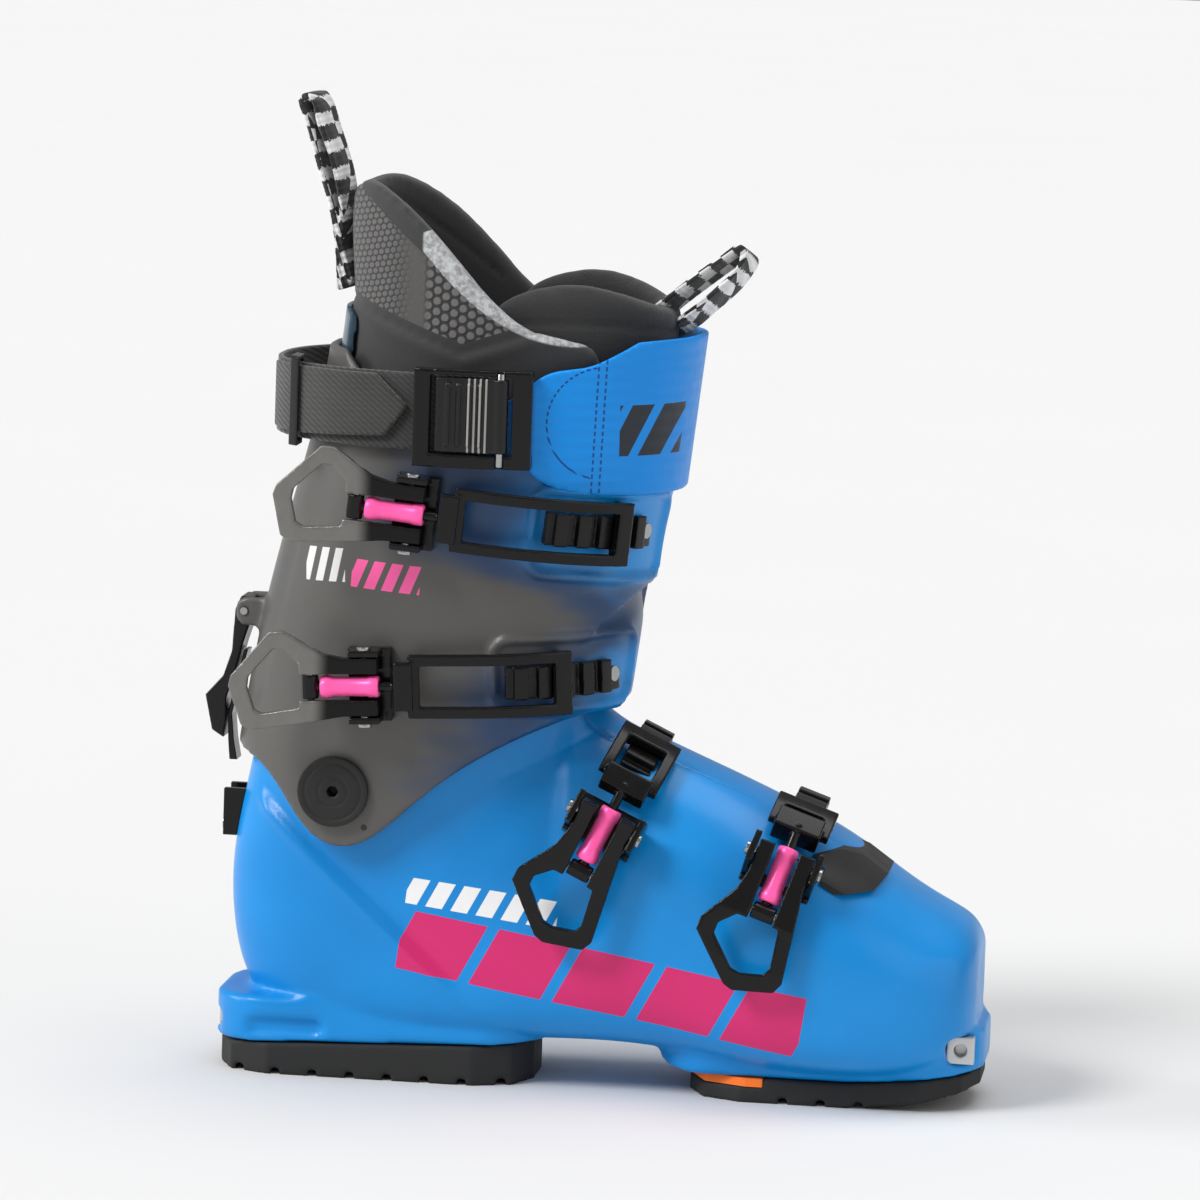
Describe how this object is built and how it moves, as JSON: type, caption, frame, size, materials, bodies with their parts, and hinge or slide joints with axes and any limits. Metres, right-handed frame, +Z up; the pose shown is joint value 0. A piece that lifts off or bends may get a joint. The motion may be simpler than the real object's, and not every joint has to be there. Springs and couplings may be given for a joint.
{
  "type": "alpine ski boot",
  "caption": "Overlap ski boot with hinged cuff, over-centre buckles, power strap, walk lock, removable liner and toe inserts for touring bindings.",
  "frame": {"origin": "on the ground face of the heel pad, straight below the cuff's pivot axis and on the sole's centre plane", "axes": "+Z up from the ground face, +X to the toe, +Y to the inner (medial) side of this right-foot boot"},
  "size_m": [0.318, 0.1407, 0.3895],
  "materials": {
    "shell_plastic": "satin polyurethane, bright blue",
    "cuff_plastic": "satin polyurethane, anthracite fading to blue at the front",
    "spoiler_plastic": "smooth blue-grey plastic",
    "sole_rubber": "moulded lugged rubber",
    "grip_rubber": "orange grip rubber",
    "board_plastic": "moulded foam-filled plastic",
    "insert_steel": "hardened steel",
    "bright_steel": "polished steel",
    "black_plastic": "black nylon",
    "black_metal": "black anodised, satin",
    "grey_metal": "grey anodised, satin",
    "pink_aluminium": "pink anodised aluminium",
    "liner_fabric": "embossed foam and lycra",
    "strap_leather": "coated strap with fine ribs and stitching",
    "strap_webbing": "twill polyester webbing",
    "loop_webbing": "black and white braided webbing"
  },
  "bodies": {
    "shell": {"lower_shell": "shell_plastic", "heel_sole_pad": "sole_rubber", "toe_sole_pad": "sole_rubber", "toe_sole_insert": "grip_rubber", "boot_board": "board_plastic", "toe_tech_inserts": "insert_steel", "heel_tech_insert": "insert_steel", "sole_screws": "bright_steel", "toe_overlap_guard": "black_plastic", "liner_foot": "liner_fabric", "pivot_rivets": "black_plastic", "pivot_nuts": "black_metal", "lock_anchor": "black_metal", "shell_rivets": "bright_steel", "instep_buckle_base": "black_metal", "instep_ladder": "black_plastic", "instep_lever_pins": "bright_steel", "toe_buckle_base": "black_metal", "toe_ladder": "black_plastic", "toe_lever_pins": "bright_steel"},
    "cuff": {"cuff": "cuff_plastic", "spoiler": "spoiler_plastic", "liner_cuff": "liner_fabric", "tongue": "liner_fabric", "cuff_rivets": "bright_steel", "power_strap_front": "strap_leather", "power_strap_webbing": "strap_webbing", "power_strap_tail": "strap_webbing", "strap_keeper": "black_plastic", "strap_buckle_frame": "black_plastic", "strap_cam_pin": "bright_steel", "rear_pull_loop": "loop_webbing", "tongue_pull_loop": "loop_webbing", "walk_lever_pin": "bright_steel", "upper_buckle_base": "black_metal", "upper_ladder": "black_plastic", "upper_lever_pins": "bright_steel", "lower_buckle_base": "black_metal", "lower_ladder": "black_plastic", "lower_lever_pins": "bright_steel"},
    "walk_lever": {"walk_lever": "black_plastic"},
    "lock_bar": {"lock_bar": "black_metal"},
    "strap_cam": {"strap_cam": "black_plastic"},
    "upper_lever": {"upper_lever": "grey_metal", "upper_link_pin": "bright_steel"},
    "upper_hook": {"upper_hook": "black_metal"},
    "upper_adjuster": {"upper_adjuster": "pink_aluminium"},
    "lower_lever": {"lower_lever": "grey_metal", "lower_link_pin": "bright_steel"},
    "lower_hook": {"lower_hook": "black_metal"},
    "lower_adjuster": {"lower_adjuster": "pink_aluminium"},
    "instep_lever": {"instep_lever": "black_metal", "instep_link_pin": "bright_steel"},
    "instep_hook": {"instep_hook": "black_metal"},
    "instep_adjuster": {"instep_adjuster": "pink_aluminium"},
    "toe_lever": {"toe_lever": "black_metal", "toe_link_pin": "bright_steel"},
    "toe_hook": {"toe_hook": "black_metal"},
    "toe_adjuster": {"toe_adjuster": "pink_aluminium"}
  },
  "joints": [
    {"name": "cuff_hinge", "type": "hinge", "parent": "shell", "child": "cuff", "pos_m": [0, 0, 0.118], "axis": [0, 1, 0], "range_deg": [-20, 2]},
    {"name": "walk_lever_hinge", "type": "hinge", "parent": "cuff", "child": "walk_lever", "pos_m": [-0.0445, 0, 0.182], "axis": [0, 1, 0], "range_deg": [0, 35]},
    {"name": "lock_bar_slide", "type": "slide", "parent": "cuff", "child": "lock_bar", "axis": [0.2181, 0, 0.9759], "range_m": [0, 0.005]},
    {"name": "strap_cam_hinge", "type": "hinge", "parent": "cuff", "child": "strap_cam", "pos_m": [0.064, -0.07, 0.268], "axis": [0, 0, 1], "range_deg": [0, 95]},
    {"name": "upper_lever_hinge", "type": "hinge", "parent": "cuff", "child": "upper_lever", "pos_m": [0.03, -0.0725, 0.23148], "axis": [0.0872, 0, 0.9962], "range_deg": [0, 110]},
    {"name": "upper_hook_hinge", "type": "hinge", "parent": "upper_lever", "child": "upper_hook", "pos_m": [0.00859, -0.0715, 0.23335], "axis": [0.0872, 0, 0.9962], "range_deg": [-138, 0]},
    {"name": "upper_adjuster_turn", "type": "hinge", "parent": "upper_hook", "child": "upper_adjuster", "pos_m": [0.02423, -0.0715, 0.23198], "axis": [0.9962, 0, -0.0872], "continuous": true},
    {"name": "lower_lever_hinge", "type": "hinge", "parent": "cuff", "child": "lower_lever", "pos_m": [0.01355, -0.066, 0.16209], "axis": [-0.0523, 0, 0.9986], "range_deg": [0, 110]},
    {"name": "lower_hook_hinge", "type": "hinge", "parent": "lower_lever", "child": "lower_hook", "pos_m": [-0.00792, -0.065, 0.16096], "axis": [-0.0523, 0, 0.9986], "range_deg": [-138, 0]},
    {"name": "lower_adjuster_turn", "type": "hinge", "parent": "lower_hook", "child": "lower_adjuster", "pos_m": [0.00776, -0.065, 0.16178], "axis": [0.9986, 0, 0.0523], "continuous": true},
    {"name": "instep_lever_hinge", "type": "hinge", "parent": "shell", "child": "instep_lever", "pos_m": [0.10846, -0.05826, 0.11222], "axis": [-0.9063, 0, 0.4226], "range_deg": [0, 110]},
    {"name": "instep_hook_hinge", "type": "hinge", "parent": "instep_lever", "child": "instep_hook", "pos_m": [0.0994, -0.05651, 0.09278], "axis": [-0.9063, 0, 0.4226], "range_deg": [-138, 0]},
    {"name": "instep_adjuster_turn", "type": "hinge", "parent": "instep_hook", "child": "instep_adjuster", "pos_m": [0.10594, -0.05397, 0.10682], "axis": [0.417, 0.1618, 0.8944], "continuous": true},
    {"name": "toe_lever_hinge", "type": "hinge", "parent": "shell", "child": "toe_lever", "pos_m": [0.17909, -0.05744, 0.10096], "axis": [-0.9455, 0, 0.3256], "range_deg": [0, 110]},
    {"name": "toe_hook_hinge", "type": "hinge", "parent": "toe_lever", "child": "toe_hook", "pos_m": [0.17211, -0.05944, 0.0807], "axis": [-0.9455, 0, 0.3256], "range_deg": [-138, 0]},
    {"name": "toe_adjuster_turn", "type": "hinge", "parent": "toe_hook", "child": "toe_adjuster", "pos_m": [0.17687, -0.05375, 0.09453], "axis": [0.3034, 0.3627, 0.8811], "continuous": true}
  ],
  "couplings": [
    {"joint": "lock_bar_slide", "follows": "walk_lever_hinge", "m_per_rad": 0.0075},
    {"joint": "upper_hook_hinge", "follows": "upper_lever_hinge", "ratio": -1.25},
    {"joint": "lower_hook_hinge", "follows": "lower_lever_hinge", "ratio": -1.25},
    {"joint": "instep_hook_hinge", "follows": "instep_lever_hinge", "ratio": -1.25},
    {"joint": "toe_hook_hinge", "follows": "toe_lever_hinge", "ratio": -1.25}
  ]
}
